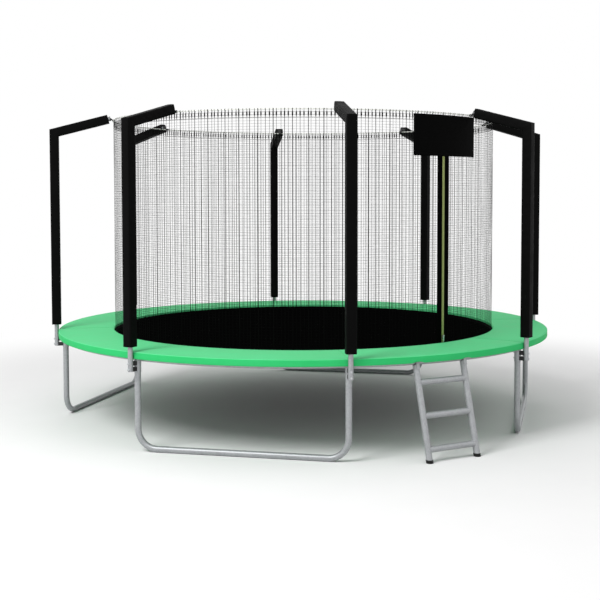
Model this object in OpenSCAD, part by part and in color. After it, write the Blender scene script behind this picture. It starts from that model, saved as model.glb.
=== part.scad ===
// Round garden trampoline with an inner safety net, eight padded net poles and a ladder.
// Origin on the ground under the centre, +Z up, millimetres. The ladder side faces -Y and +X.

/* [Ring and legs] */
// Radius of the top ring, to the middle of its tube
ring_r = 2110; // [1700:10:2300]
// Height of the top ring's centreline above the ground
ring_h = 711; // [620:1:900]
// Outside diameter of the ring, leg and base tubes
tube_d = 48; // [40:1:56]
// Wall thickness of every steel tube
tube_wall = 1.5; // [1:0.1:3]
// Azimuth of the first leg, measured from -Y towards +X
frame_turn = 8.7; // [0:0.1:20]
// Length of the leg sockets, below the ring's centreline
socket_len = 110; // [90:1:150]
// Wall thickness of the leg sockets
socket_wall = 2.2; // [1.5:0.1:4]
// Length of each swaged tube end inside its neighbour
spigot_len = 50; // [30:1:56]
// Radial clearance of tubes that slide into each other
fit_gap = 0.3; // [0.1:0.05:0.6]
// Centreline radius of the bends in the leg bases
leg_bend_r = 150; // [100:5:200]
// Height of the joint between leg base and upright
base_rise = 250; // [220:5:320]

/* [Net poles] */
// Outside diameter of the pole tubes
pole_d = 38; // [30:1:44]
// Thickness of the spacers between leg socket and pole
spacer_t = 29.5; // [22:0.5:40]
// Height of each spacer block
spacer_h = 30; // [20:1:34]
// Drop of the upper clamp bolt below the ring's centreline
bolt_drop = 39; // [36:1:44]
// Distance between the two clamp bolts of a pole
bolt_pitch = 44; // [36:1:50]
// Diameter of the clamp bolts
bolt_d = 8; // [6:1:10]
// Drop of the pole's bend below the net's upper edge
bend_drop = 115; // [100:1:140]
// Rise of the inward arm above level, in degrees
arm_tilt = 15; // [5:1:25]
// Centreline radius of the bend in the pole
pole_bend_r = 80; // [60:1:110]
// Width of the square foam sleeve
sleeve_w = 76; // [60:1:90]
// Height of the sleeve's lower end above the pad
sleeve_lift = 41; // [20:1:80]

/* [Springs] */
// Number of springs on each of the eight rails
springs_per_rail = 12; // [8:1:13]
// Outside diameter of the spring coils
spring_d = 22; // [16:1:22]
// Diameter of the spring wire
spring_wire = 3.5; // [2.5:0.1:4]
// Height of the spring's axis above the ring's centreline
spring_rise = 12; // [9:0.5:12]
// Number of turned ridges that stand for the coils
spring_ridges = 10; // [6:1:14]

/* [Mat] */
// Width of the spring bed, from the ring's centreline to the mat's edge
bed_w = 265; // [240:5:320]
// Thickness of the mat cloth
mat_t = 3; // [2:0.5:5]
// Width of the folded edge of the mat
mat_hem_w = 45; // [30:1:60]
// Thickness of the folded edge of the mat
mat_hem_t = 7; // [5:0.5:9]
// Thickness of the triangular mat rings
ring_wire = 4; // [3:0.5:5]

/* [Safety pad] */
// Gap between the net wall's middle and the pad's inner edge
pad_clear = 12; // [11:1:60]
// Thickness of the pad over the springs
pad_t = 25; // [20:1:35]
// Depth of the outer skirt below the pad's underside
skirt_drop = 20; // [10:1:22]
// Thickness of the outer skirt
skirt_t = 10; // [8:0.5:11]
// Radius of the pad's rounded edges
pad_edge_r = 6; // [3:0.5:9]

/* [Safety net] */
// Distance from the mat's edge in to the net wall's middle
net_inset = 165; // [100:5:220]
// Height of the net's upper edge above the pad
net_rise = 1817; // [1600:1:2000]
// Diameter of the upright net cords
cord_d = 6; // [4:0.5:7]
// Diameter of the level net cords
cross_d = 5; // [3:0.5:6]
// Openings across each eighth of the net
net_cols = 6; // [3:1:6]
// Openings up the height of the net
net_rows = 6; // [4:1:6]
// Height of the sewn band at the top of the net
top_band_h = 70; // [50:1:90]
// Height of the sewn band at the bottom of the net
bottom_band_h = 55; // [40:1:70]
// Diameter of the glass-fibre hoop in the top band
hoop_d = 8; // [6:0.5:10]

/* [Door and sign] */
// Azimuth of the zip
door_az = 40.6; // [36:0.1:42]
// Width of the webbing band that carries the zip
band_w = 130; // [90:1:160]
// Width of the zip's chain of teeth
chain_w = 8; // [6:0.5:10]
// Thickness of the zip's chain
chain_t = 3; // [2:0.5:4]
// Height of the zip slider
slider_h = 30; // [24:1:36]
// Length of the zip's pull tab
pull_len = 48; // [36:1:60]
// Azimuth of the sign's middle
sign_az = 42.5; // [40:0.1:44]
// Width of the blank sign, along the net
sign_w = 736; // [500:1:800]
// Height of the blank sign
sign_h = 322; // [200:1:360]

/* [Ladder] */
// Azimuth of the ladder's middle
ladder_az = 28.4; // [27:0.1:30]
// Distance between the ladder rails, centre to centre
ladder_w = 426; // [380:1:440]
// Lean of the ladder from upright, in degrees
ladder_tilt = 15; // [12:0.5:18]
// Outside diameter of the ladder rails
ladder_d = 38; // [32:1:42]
// Outside diameter of the rungs
rung_d = 32; // [25:1:36]
// Height of the lowest rung above the ground
rung_h = 92; // [80:1:120]
// Height from rung to rung
rung_pitch = 235; // [200:1:245]
// Rod diameter of the ladder hooks
hook_d = 8; // [6:1:9]

/* [Hidden] */
bays = 8;
bay_deg = 360 / bays;
bases = bays / 2;
rungs = 3;
far = 6000;                     // longer than any cut has to be
touch = 0.3;                    // running gap where one piece rests on another

// Ring, sockets and legs
tube_r = tube_d / 2;
socket_r = tube_r + fit_gap + socket_wall;
mat_r = ring_r - bed_w;
net_r = mat_r - net_inset;
pad_in_r = net_r + pad_clear;
pitch_deg = bay_deg / springs_per_rail;
leg_top = ring_h - tube_r - 1;
bolt_hole_r = bolt_d / 2 + fit_gap;
chord_half = ring_r * sin(bay_deg / 2);
chord_r = ring_r * cos(bay_deg / 2);

// Safety pad, which lies on the ring
pole_r = ring_r + socket_r + spacer_t + pole_d / 2;
pole_foot = ring_h - bolt_drop - bolt_pitch - spacer_h / 2;
pad_out_r = pole_r - pole_d / 2 - 1;
pad_under = ring_h + tube_r;
pad_top = pad_under + pad_t;
net_top_h = pad_top + net_rise;
bend_h = net_top_h - bend_drop;
seam = 0.6;

// Springs: a tip in a hole of the ring, a coil body and a hook round a mat ring
wire_r = spring_wire / 2;
hole_r = wire_r + 0.75;
wall_x = ring_r - sqrt((tube_r - tube_wall) * (tube_r - tube_wall) - spring_rise * spring_rise);
tip_x = wall_x + 1;
tip_r = 4;
body_end_x = ring_r - tube_r - 38;
catch_r = 7;
catch_gap = 0.8;
taper = 10;

// Mat and its rings
mat_plane = ring_h + spring_rise - catch_r;
mat_top = mat_plane + mat_t / 2;
tab_w = 30;
tab_reach = 8;
corner_r = 7;
ring_side = 36;
ring_mid = ring_side * tan(30) / 2;
ring_back_x = mat_r + tab_reach;
ring_tip_x = ring_back_x + 2 * corner_r + ring_side * cos(30);
catch_x = ring_tip_x + catch_r - wire_r - ring_wire / 2 - catch_gap;
body_start_x = catch_x + 34;
body_len = body_end_x - body_start_x;

// Net wall
bottom_h = mat_top + touch;
mesh_low = bottom_h + bottom_band_h;
mesh_high = net_top_h - top_band_h;
band_t = 4;
channel_r = hoop_d / 2 + 4;
hoop_z = net_top_h - channel_r;
cord_deg = (bay_deg - 2 * asin((cord_d / 2 + touch / 2) / net_r)) / net_cols;

// Pole arms and their end caps
arm_deg = 90 - arm_tilt;
bend_run = pole_bend_r * tan(arm_deg / 2);
cap_t = 6;
arm_len = (pole_r - net_r - channel_r - 24) / cos(arm_tilt);
sleeve_len = arm_len - 14;
clip_t = 3;
clip_w = 30;

// Door
band_x = net_r + cord_d / 2 + touch;
band_layer = 2;
chain_x = band_x + band_layer;
sign_t = 3;
sign_top = net_top_h - 2 * channel_r - 7;
sign_low = sign_top - sign_h;
chain_low = pad_top + 28;
slider_w = 18;
slider_wall = 2.5;
slider_x = chain_x + chain_t + touch + slider_wall;
pin_r = 1.5;
knuckle_r = pin_r + 1.6;
pin_x = slider_x + knuckle_r + touch;
pin_z = chain_low + slider_h - 5;
pull_t = 2;
pull_w = 13;

// Ladder, hinged on the ring tube
hinge_x = sqrt(ring_r * ring_r - ladder_w * ladder_w / 4);
hook_arc_r = tube_r + touch + hook_d / 2;
rail_x = hook_arc_r - hook_d / 2 - ladder_d / 2;
rail_top = 45;
hook_weld = 60;
rail_len = ring_h / cos(ladder_tilt) - 28;
foot_wall = 3;
foot_grip = 45;

steel = "Gainsboro";
black = [0.08, 0.08, 0.08];
green = [0.41, 0.84, 0.58];

function leg_az(i) = frame_turn + bay_deg * (i - 1);
function spring_az(i, j) = leg_az(i) + pitch_deg * (j + 0.5);

// Local frame at an azimuth: +X outwards, +Y along the ring, +Z up.
module around(az) {
  rotate([0, 0, az - 90]) children();
}

// Sweeps a section, drawn at its radius, from one azimuth to another.
module sweep(az_from, az_to) {
  around(az_from) rotate_extrude(angle = az_to - az_from, $fn = 240) children();
}

// Turns a ring segment drawn in plan up into the local X-Z plane.
module upright_arc(radius, from, span) {
  rotate([90, 0, 0]) rotate([0, 0, from])
    rotate_extrude(angle = span, $fn = 48) translate([radius, 0]) children();
}

module rod(d, len) {
  cylinder(d = d, h = len, $fn = 24);
}

// ---- Ring and legs

module rail_section(az_from, az_to, r) {
  sweep(az_from, az_to) translate([ring_r, ring_h]) circle(r, $fn = 48);
}

module bolt_holes(i) {
  for (k = [0:1])
    around(leg_az(i)) translate([ring_r - far / 20, 0, ring_h - bolt_drop - bolt_pitch * k])
      rotate([0, 90, 0]) cylinder(r = bolt_hole_r, h = far / 10, $fn = 24);
}

module spring_hole(az) {
  around(az) translate([ring_r - tube_r - 1, 0, ring_h + spring_rise]) rotate([0, 90, 0])
    cylinder(r = hole_r, h = tube_r / 2, $fn = 24);
}

module top_rail(i) {
  start = leg_az(i) + pitch_deg - bay_deg;
  end = leg_az(i) + pitch_deg;
  spigot_deg = spigot_len / ring_r * 180 / PI;
  spigot_r = tube_r - tube_wall - fit_gap;
  color(steel) difference() {
    union() {
      rail_section(start, end, tube_r);
      rail_section(start - spigot_deg, start + spigot_deg, spigot_r);
      around(leg_az(i)) translate([ring_r, 0, ring_h - socket_len]) difference() {
        cylinder(r = socket_r, h = socket_len, $fn = 48);
        translate([0, 0, -1])
          cylinder(r = tube_r + fit_gap, h = socket_len - tube_r + 0.5, $fn = 48);
      }
    }
    rail_section(start + 2 * spigot_deg, end + 1, tube_r - tube_wall);
    rail_section(start - spigot_deg - 1, start + 3 * spigot_deg, spigot_r - tube_wall);
    for (j = [0:springs_per_rail - 1]) spring_hole(spring_az(i, j + 1 - springs_per_rail));
    bolt_holes(i);
  }
}

module leg_upright(i) {
  color(steel) difference() {
    around(leg_az(i)) translate([ring_r, 0, base_rise]) difference() {
      cylinder(r = tube_r, h = leg_top - base_rise, $fn = 48);
      translate([0, 0, -1]) cylinder(r = tube_r - tube_wall, h = far, $fn = 48);
    }
    bolt_holes(i);
  }
}

// The U of a leg base in its own plane: two bends and the bar on the ground.
module base_path(r, rise) {
  for (side = [-1, 1]) scale([side, 1, 1]) {
    translate([chord_half, 0, tube_r + leg_bend_r]) cylinder(r = r, h = rise, $fn = 48);
    translate([chord_half - leg_bend_r, 0, tube_r + leg_bend_r])
      upright_arc(leg_bend_r, 270, 90) circle(r, $fn = 48);
  }
  translate([leg_bend_r - chord_half, 0, tube_r]) rotate([0, 90, 0])
    cylinder(r = r, h = 2 * (chord_half - leg_bend_r), $fn = 48);
}

module leg_base(i) {
  spigot_r = tube_r - tube_wall - fit_gap;
  straight = base_rise - tube_r - leg_bend_r;
  color(steel) around(leg_az(2 * i) + bay_deg / 2) translate([chord_r, 0, 0]) rotate([0, 0, 90])
    difference() {
      union() {
        base_path(tube_r, straight);
        for (side = [-1, 1]) translate([side * chord_half, 0, base_rise - 1])
          cylinder(r = spigot_r, h = spigot_len + 1, $fn = 48);
      }
      base_path(spigot_r - tube_wall, straight + spigot_len + 2);
    }
}

// ---- Net poles

// A pole's centreline thickened to a diameter: upright, bend and arm.
module pole_path(d, low, reach) {
  translate([pole_r, 0, low]) cylinder(d = d, h = bend_h - bend_run - low, $fn = 48);
  translate([pole_r - pole_bend_r, 0, bend_h - bend_run])
    upright_arc(pole_bend_r, 0, arm_deg) circle(d = d, $fn = 48);
  translate([pole_r, 0, bend_h]) rotate([0, -arm_deg, 0]) translate([0, 0, bend_run])
    cylinder(d = d, h = reach - bend_run, $fn = 48);
}

module net_pole(i) {
  color(steel) difference() {
    around(leg_az(i)) difference() {
      pole_path(pole_d, pole_foot, arm_len);
      pole_path(pole_d - 2 * tube_wall, pole_foot - 1, arm_len + 1);
    }
    bolt_holes(i);
  }
}

// Side view of a sleeve: a band round the centreline with one mitred corner.
module sleeve_outline(low, reach) {
  half = sleeve_w / 2;
  mitre = half * (1 - sin(arm_tilt)) / cos(arm_tilt);
  along = [-cos(arm_tilt), sin(arm_tilt)] * reach;
  out = [sin(arm_tilt), cos(arm_tilt)] * half;
  polygon([[half, low - bend_h], [half, mitre], along + out, along - out,
           [-half, -mitre], [-half, low - bend_h]]);
}

module pole_sleeve(i) {
  low = pad_top + sleeve_lift;
  color(black) around(leg_az(i)) difference() {
    translate([pole_r, sleeve_w / 2, bend_h]) rotate([90, 0, 0])
      linear_extrude(sleeve_w) sleeve_outline(low, sleeve_len);
    pole_path(pole_d + 2 * fit_gap, low - 1, arm_len + 1);
  }
}

module pole_spacers() {
  color(black) for (i = [1:bays], k = [0:1])
    around(leg_az(i)) translate([0, 0, ring_h - bolt_drop - bolt_pitch * k]) difference() {
      translate([ring_r, -16, -spacer_h / 2]) cube([pole_r - ring_r, 32, spacer_h]);
      translate([ring_r, 0, -spacer_h]) cylinder(r = socket_r, h = 2 * spacer_h, $fn = 48);
      translate([pole_r, 0, -spacer_h]) cylinder(d = pole_d, h = 2 * spacer_h, $fn = 48);
      translate([ring_r, 0, 0]) rotate([0, 90, 0])
        cylinder(r = bolt_hole_r, h = pole_r - ring_r, $fn = 24);
    }
}

module clamp_bolt() {
  head_t = 6;
  inner = ring_r - socket_r;
  outer = pole_r + pole_d / 2;
  rotate([0, 90, 0]) {
    translate([0, 0, inner - head_t - 3]) rod(bolt_d, outer - inner + head_t + 5);
    translate([0, 0, inner - head_t]) cylinder(d = 1.9 * bolt_d, h = head_t, $fn = 6);
    translate([0, 0, outer]) cylinder(d = 2 * bolt_d, h = 1.6, $fn = 36);
    translate([0, 0, outer + 1.6]) cylinder(d = 1.9 * bolt_d, h = head_t, $fn = 6);
  }
}

module pole_bolts() {
  color(steel) for (i = [1:bays], k = [0:1])
    around(leg_az(i)) translate([0, 0, ring_h - bolt_drop - bolt_pitch * k]) clamp_bolt();
}

// Plug in the arm's end with a clip that grips the net's top band.
module pole_cap() {
  plug_d = pole_d - 2 * tube_wall - 2 * fit_gap;
  clip_out = channel_r + touch + clip_t;
  end_x = pole_r - (arm_len + cap_t) * cos(arm_tilt);
  end_z = bend_h + (arm_len + cap_t) * sin(arm_tilt);
  reach = [net_r - end_x, hoop_z - end_z];
  difference() {
    union() {
      translate([pole_r, 0, bend_h]) rotate([0, -arm_deg, 0]) {
        translate([0, 0, arm_len]) rod(pole_d + 3, cap_t);
        translate([0, 0, arm_len - 25]) rod(plug_d, 26);
      }
      translate([end_x, 0, end_z]) rotate([0, atan2(reach[0], reach[1]), 0])
        translate([0, 0, -cap_t / 2]) rod(12, norm(reach) + cap_t / 2);
      translate([net_r, clip_w / 2, hoop_z]) rotate([90, 0, 0])
        cylinder(r = clip_out, h = clip_w, $fn = 48);
    }
    translate([net_r, far / 2, hoop_z]) rotate([90, 0, 0])
      cylinder(r = channel_r + touch, h = far, $fn = 48);
    translate([net_r - channel_r * 0.7, -far / 2, hoop_z - 2 * clip_out])
      cube([1.4 * channel_r, far, 2 * clip_out]);
  }
}

module pole_caps() {
  color(black) for (i = [1:bays]) around(leg_az(i)) pole_cap();
}

// ---- Spring bed

// Straight part of a spring as one turned piece along +X: two wire ends and a ridged body.
module spring_body() {
  ridge_len = (body_len - 2 * taper) / spring_ridges;
  low_r = spring_d / 2 - wire_r;
  ridges = [for (k = [0:spring_ridges - 1])
    each [[low_r, taper + k * ridge_len], [spring_d / 2, taper + (k + 0.5) * ridge_len]]];
  in_len = body_start_x - catch_x;
  out_len = tip_x - body_end_x;
  rotate([0, 90, 0]) rotate_extrude($fn = 24)
    polygon(concat([[0, -in_len], [wire_r, -in_len], [wire_r, 0]], ridges,
                   [[low_r, body_len - taper], [wire_r, body_len],
                    [wire_r, body_len + out_len], [0, body_len + out_len]]));
}

module spring() {
  translate([body_start_x, 0, spring_rise]) spring_body();
  translate([catch_x, 0, spring_rise - catch_r])
    upright_arc(catch_r, 90, 200) circle(wire_r, $fn = 24);
  translate([tip_x, 0, spring_rise - tip_r]) upright_arc(tip_r, 0, 90) circle(wire_r, $fn = 24);
}

module springs() {
  color("Silver") for (i = [1:bays], j = [0:springs_per_rail - 1])
    around(spring_az(i, j)) translate([0, 0, ring_h]) spring();
}

// Outline of a triangle with rounded corners, one of them pointing along +X.
module ring_outline(r) {
  polygon([for (corner = [0, 120, 240], turn = [-60:30:60])
    ring_side / sqrt(3) * [cos(corner), sin(corner)]
      + r * [cos(corner + turn), sin(corner + turn)]]);
}

// Triangular ring: one side lies in the tab, the outer corner takes the spring's hook.
module mat_ring() {
  translate([ring_back_x + corner_r + ring_mid, 0, -ring_wire / 2]) linear_extrude(ring_wire)
    difference() {
      ring_outline(corner_r + ring_wire / 2);
      ring_outline(corner_r - ring_wire / 2);
    }
}

module mat_rings() {
  color("Silver") for (i = [1:bays], j = [0:springs_per_rail - 1])
    around(spring_az(i, j)) translate([0, 0, mat_plane]) mat_ring();
}

module ring_tabs() {
  tab_half_t = ring_wire / 2 + 2;
  slot = ring_wire / 2 + 0.1;
  color(black) for (i = [1:bays], j = [0:springs_per_rail - 1])
    around(spring_az(i, j)) translate([mat_r, -tab_w / 2, mat_plane]) difference() {
      translate([0, 0, -tab_half_t]) cube([tab_reach + tab_half_t, tab_w, 2 * tab_half_t]);
      translate([tab_reach - slot, -1, -slot]) cube([2 * slot, tab_w + 2, 2 * slot]);
    }
}

module jumping_mat() {
  color(black) {
    translate([0, 0, mat_top - mat_t]) cylinder(r = mat_r, h = mat_t, $fn = 240);
    translate([0, 0, mat_top - mat_hem_t]) difference() {
      cylinder(r = mat_r, h = mat_hem_t, $fn = 240);
      translate([0, 0, -1]) cylinder(r = mat_r - mat_hem_w, h = mat_hem_t + 2, $fn = 240);
    }
  }
}

// ---- Safety pad

module pad_outline() {
  translate([pad_in_r, pad_under]) difference() {
    union() {
      translate([pad_edge_r, 0]) square([pad_out_r - pad_in_r - 2 * pad_edge_r, pad_t]);
      square([2 * pad_edge_r, pad_t - pad_edge_r]);
      translate([pad_edge_r, pad_t - pad_edge_r]) circle(pad_edge_r, $fn = 48);
      translate([pad_out_r - pad_in_r - pad_edge_r, pad_t - pad_edge_r])
        circle(pad_edge_r, $fn = 48);
      translate([pad_out_r - pad_in_r - skirt_t, -skirt_drop])
        square([skirt_t, skirt_drop + pad_t - pad_edge_r]);
    }
  }
}

module hook_notches() {
  for (side = [-1, 1])
    around(ladder_az) translate([hinge_x, side * ladder_w / 2 + 2 * hook_d / 2, ring_h])
      rotate([90, 0, 0]) cylinder(r = hook_arc_r + hook_d / 2 + 1, h = 2 * hook_d, $fn = 48);
}

module safety_pad() {
  half_seam = seam / 2 / ring_r * 180 / PI;
  color(green) difference() {
    for (i = [1:bays]) sweep(leg_az(i) + half_seam, leg_az(i + 1) - half_seam) pad_outline();
    hook_notches();
  }
}

// ---- Safety net

module net_bay(i) {
  first = leg_az(i) + (bay_deg - cord_deg * net_cols) / 2;
  step = (mesh_high - mesh_low - cross_d) / net_rows;
  half = net_r * sin(cord_deg / 2);
  for (k = [0:net_cols]) around(first + k * cord_deg)
    translate([net_r - cord_d / 2, -cord_d / 2, mesh_low])
      cube([cord_d, cord_d, mesh_high - mesh_low]);
  for (k = [0:net_cols - 1], row = [0:net_rows]) around(first + (k + 0.5) * cord_deg)
    translate([net_r * cos(cord_deg / 2) - cross_d / 2, -half, mesh_low + row * step])
      cube([cross_d, 2 * half, cross_d]);
}

module net_mesh() {
  color("DimGray") for (i = [1:bays]) net_bay(i);
}

module bay_sweep(i) {
  half_seam = touch / 2 / net_r * 180 / PI;
  sweep(leg_az(i) + half_seam, leg_az(i + 1) - half_seam) children();
}

module net_top_band() {
  color("DimGray") for (i = [1:bays]) bay_sweep(i) difference() {
    union() {
      translate([net_r - band_t / 2, mesh_high]) square([band_t, hoop_z - mesh_high]);
      translate([net_r, hoop_z]) circle(channel_r, $fn = 48);
    }
    translate([net_r, hoop_z]) circle(d = hoop_d + 2 * touch, $fn = 36);
  }
}

module net_bottom_band() {
  color("DimGray") for (i = [1:bays]) bay_sweep(i)
    translate([net_r - cord_d / 2, bottom_h]) square([cord_d, bottom_band_h]);
}

module net_hoop() {
  color("WhiteSmoke") rotate_extrude($fn = 240) translate([net_r, hoop_z])
    circle(d = hoop_d, $fn = 36);
}

// ---- Door and sign

// A flat strip bent round the net: width along it, thickness outwards.
module net_strip(az, width, x, thick, low, high) {
  half = width / 2 / x * 180 / PI;
  sweep(az - half, az + half) translate([x, low]) square([thick, high - low]);
}

module door_band() {
  color(black) net_strip(door_az, band_w, band_x, band_layer, bottom_h, sign_low - touch);
}

module zip_chain() {
  color([0.69, 0.73, 0.47]) {
    net_strip(door_az, chain_w, chain_x, chain_t, chain_low - 4, sign_low - 6);
    net_strip(door_az, chain_w + 6, chain_x, chain_t + 1.5, chain_low - 14, chain_low - 4);
  }
}

module zip_slider() {
  channel_w = chain_w + 2 * touch;
  ear_t = 2;
  color("Silver") around(door_az) {
    translate([chain_x + touch, -slider_w / 2, chain_low]) difference() {
      cube([chain_t + slider_wall, slider_w, slider_h]);
      translate([-1, (slider_w - channel_w) / 2, -1])
        cube([chain_t + 1, channel_w, slider_h + 2]);
    }
    for (side = [-1, 1]) translate([slider_x, side * (slider_w / 2 - ear_t / 2), pin_z])
      rotate([90, 0, 0]) translate([0, 0, -ear_t / 2]) {
        translate([-1, -4, 0]) cube([pin_x - slider_x + 1, 8, ear_t]);
        translate([pin_x - slider_x, 0, 0]) cylinder(r = 4, h = ear_t, $fn = 36);
      }
    translate([pin_x, slider_w / 2, pin_z]) rotate([90, 0, 0]) cylinder(r = pin_r, h = slider_w, $fn = 36);
  }
}

module zip_pull() {
  color("Silver") around(door_az) translate([pin_x, pull_w / 2, pin_z]) rotate([90, 0, 0]) difference() {
    union() {
      cylinder(r = knuckle_r, h = pull_w, $fn = 36);
      translate([-pull_t / 2, -pull_len + pull_w / 2, 0]) cube([pull_t, pull_len - pull_w / 2, pull_w]);
      translate([-pull_t / 2, -pull_len + pull_w / 2, pull_w / 2]) rotate([0, 90, 0])
        cylinder(d = pull_w, h = pull_t, $fn = 36);
    }
    translate([0, 0, -1]) cylinder(r = pin_r + 0.08, h = pull_w + 2, $fn = 36);
    translate([-far / 2, -pull_len + pull_w / 2, pull_w / 2]) rotate([0, 90, 0])
      cylinder(d = pull_w / 2, h = far, $fn = 36);
  }
}

module blank_sign() {
  color(black) net_strip(sign_az, sign_w, band_x, sign_t, sign_low, sign_top);
}

// ---- Ladder

// Local frame of the ladder: origin on the hinge line, -Z down the rails.
module ladder_frame() {
  around(ladder_az) translate([hinge_x, 0, ring_h]) rotate([0, -ladder_tilt, 0]) children();
}

module ladder_rail(side) {
  color(steel) ladder_frame() translate([rail_x, side * ladder_w / 2, -rail_len]) difference() {
    cylinder(d = ladder_d, h = rail_len - rail_top, $fn = 48);
    translate([0, 0, -1]) cylinder(d = ladder_d - 2 * tube_wall, h = rail_len, $fn = 48);
  }
}

module ladder_rung(i) {
  drop = (ring_h - rung_h - rung_pitch * (i - 1)) / cos(ladder_tilt) + rail_x * tan(ladder_tilt);
  color(steel) ladder_frame() translate([rail_x, 0, -drop]) difference() {
    translate([0, ladder_w / 2, 0]) rotate([90, 0, 0]) cylinder(d = rung_d, h = ladder_w, $fn = 48);
    translate([0, ladder_w, 0]) rotate([90, 0, 0])
      cylinder(d = rung_d - 2 * tube_wall, h = 2 * ladder_w, $fn = 48);
    for (side = [-1, 1]) translate([0, side * ladder_w / 2, -far / 2])
      cylinder(d = ladder_d, h = far, $fn = 48);
  }
}

module ladder_hooks() {
  color(steel) ladder_frame() for (side = [-1, 1]) translate([0, side * ladder_w / 2, 0]) {
    upright_arc(hook_arc_r, 0, 200) circle(d = hook_d, $fn = 36);
    translate([hook_arc_r, 0, -rail_top - hook_weld]) rod(hook_d, rail_top + hook_weld);
  }
}

module ladder_feet() {
  foot_d = ladder_d + 2 * touch + 2 * foot_wall;
  color(black) difference() {
    ladder_frame() for (side = [-1, 1]) translate([rail_x, side * ladder_w / 2, -rail_len])
      difference() {
        translate([0, 0, -foot_d]) cylinder(d = foot_d, h = foot_d + foot_grip, $fn = 48);
        cylinder(d = ladder_d + 2 * touch, h = far, $fn = 48);
      }
    translate([-far / 2, -far / 2, -far]) cube([far, far, far]);
  }
}

for (i = [1:bays]) {
  top_rail(i);
  leg_upright(i);
  net_pole(i);
  pole_sleeve(i);
}
for (i = [1:bases]) leg_base(i);
pole_spacers();
pole_bolts();
pole_caps();
springs();
mat_rings();
ring_tabs();
jumping_mat();
safety_pad();
net_mesh();
net_top_band();
net_bottom_band();
net_hoop();
door_band();
zip_chain();
zip_slider();
zip_pull();
blank_sign();
ladder_rail(-1);  // ladder_rail_left
ladder_rail(1);  // ladder_rail_right
for (i = [1:rungs]) ladder_rung(i);
ladder_hooks();
ladder_feet();
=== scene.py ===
import math
import bmesh
import bpy
import numpy as np
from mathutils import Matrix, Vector, noise


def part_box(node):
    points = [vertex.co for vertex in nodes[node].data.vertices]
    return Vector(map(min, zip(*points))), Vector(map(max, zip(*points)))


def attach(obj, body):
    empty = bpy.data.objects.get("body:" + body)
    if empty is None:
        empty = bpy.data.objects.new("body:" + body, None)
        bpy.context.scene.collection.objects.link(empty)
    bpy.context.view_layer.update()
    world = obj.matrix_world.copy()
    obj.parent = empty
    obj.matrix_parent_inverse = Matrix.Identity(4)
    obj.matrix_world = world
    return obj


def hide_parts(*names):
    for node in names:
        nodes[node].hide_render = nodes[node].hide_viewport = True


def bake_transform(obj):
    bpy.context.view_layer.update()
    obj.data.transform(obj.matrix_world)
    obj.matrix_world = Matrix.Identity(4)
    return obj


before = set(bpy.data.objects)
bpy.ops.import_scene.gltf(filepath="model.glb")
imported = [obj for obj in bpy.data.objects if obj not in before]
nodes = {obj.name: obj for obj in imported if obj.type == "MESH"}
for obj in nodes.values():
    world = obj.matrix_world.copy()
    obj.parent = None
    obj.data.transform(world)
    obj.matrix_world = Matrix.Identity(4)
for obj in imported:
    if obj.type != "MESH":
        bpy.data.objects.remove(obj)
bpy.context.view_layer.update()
print("frame loaded with", len(nodes), "nodes")

mm = 0.001
bays = 8
bayDeg = 360 / bays
near = 1e-6                                   # closer than this, two places are one
skyward = (0, 0, 1)


def highOf(node):
    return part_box(node)[1]


def lowOf(node):
    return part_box(node)[0]


frameTurn = 8.7                               # azimuth of the first leg, from -Y towards +X
ringR = 2110 * mm                             # middle of the top ring's tube
ringH = 711 * mm
poleR = 2185 * mm                             # middle of the upright poles
padOut = 2165 * mm
padIn = 1692 * mm
padTop = highOf("safety_pad").z
padUnder = ringH + 24 * mm                    # underside of the foam, on the springs
hemDrop = 8 * mm                              # the cloth edge of the skirt hangs just below the foam
padLow = lowOf("safety_pad").z - hemDrop
matR = highOf("jumping_mat").y
matTop = highOf("jumping_mat").z
netR = 1680 * mm
netTop = highOf("net_top_band").z
netSkin = 1683.3 * mm                         # where cloth lies on the outside of the net
doorAz = 40.6
signAz = 42.5
ladderAz = 28.4


def legAz(i):
    return frameTurn + bayDeg * i


def place(az, x, y, z):
    # local +x points outwards at the azimuth, +y runs along the ring
    a = np.radians(az)
    return np.stack(np.broadcast_arrays(x * np.sin(a) + y * np.cos(a), -x * np.cos(a) + y * np.sin(a), z), -1)


cameraSpec = {"focalPx": 1085.0, "framePx": 600, "centrePx": (330.1, 253.1), "sensorMm": 36, "farEnd": 200,
              "place": (0.0, -9.81, 1.93), "pitchDown": 3.09, "turn": -1.37}


def makeCamera(spec):
    data = bpy.data.cameras.new("camera")
    data.sensor_width = spec["sensorMm"]
    data.lens = spec["sensorMm"] * spec["focalPx"] / spec["framePx"]
    data.shift_x = 0.5 - spec["centrePx"][0] / spec["framePx"]
    data.shift_y = spec["centrePx"][1] / spec["framePx"] - 0.5
    data.clip_end = spec["farEnd"]
    camera = bpy.data.objects.new("camera", data)
    camera.location = spec["place"]
    camera.rotation_euler = (math.radians(90 - spec["pitchDown"]), 0, math.radians(spec["turn"]))
    bpy.context.scene.collection.objects.link(camera)
    bpy.context.scene.camera = camera


makeCamera(cameraSpec)
print("camera made")


def linear(code):
    # sRGB hex to linear colour
    def channel(v):
        return v / 12.92 if v <= 0.04045 else ((v + 0.055) / 1.055) ** 2.4
    return [channel(int(code[i:i + 2], 16) / 255) for i in (0, 2, 4)] + [1.0]


def sinCos(degrees):
    return math.sin(math.radians(degrees)), math.cos(math.radians(degrees))


def arc(x, z, r, degrees):
    return [(x + r * math.cos(a), z + r * math.sin(a)) for a in np.radians(degrees)]


def waver(*where):
    # smooth noise from -1 to 1. The numbers in each call set how fast it changes and where it starts.
    return noise.noise(Vector(where))


def lengthsAlong(path):
    return np.concatenate([[0], np.cumsum(np.linalg.norm(np.diff(path, axis=0), axis=1))])


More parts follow.
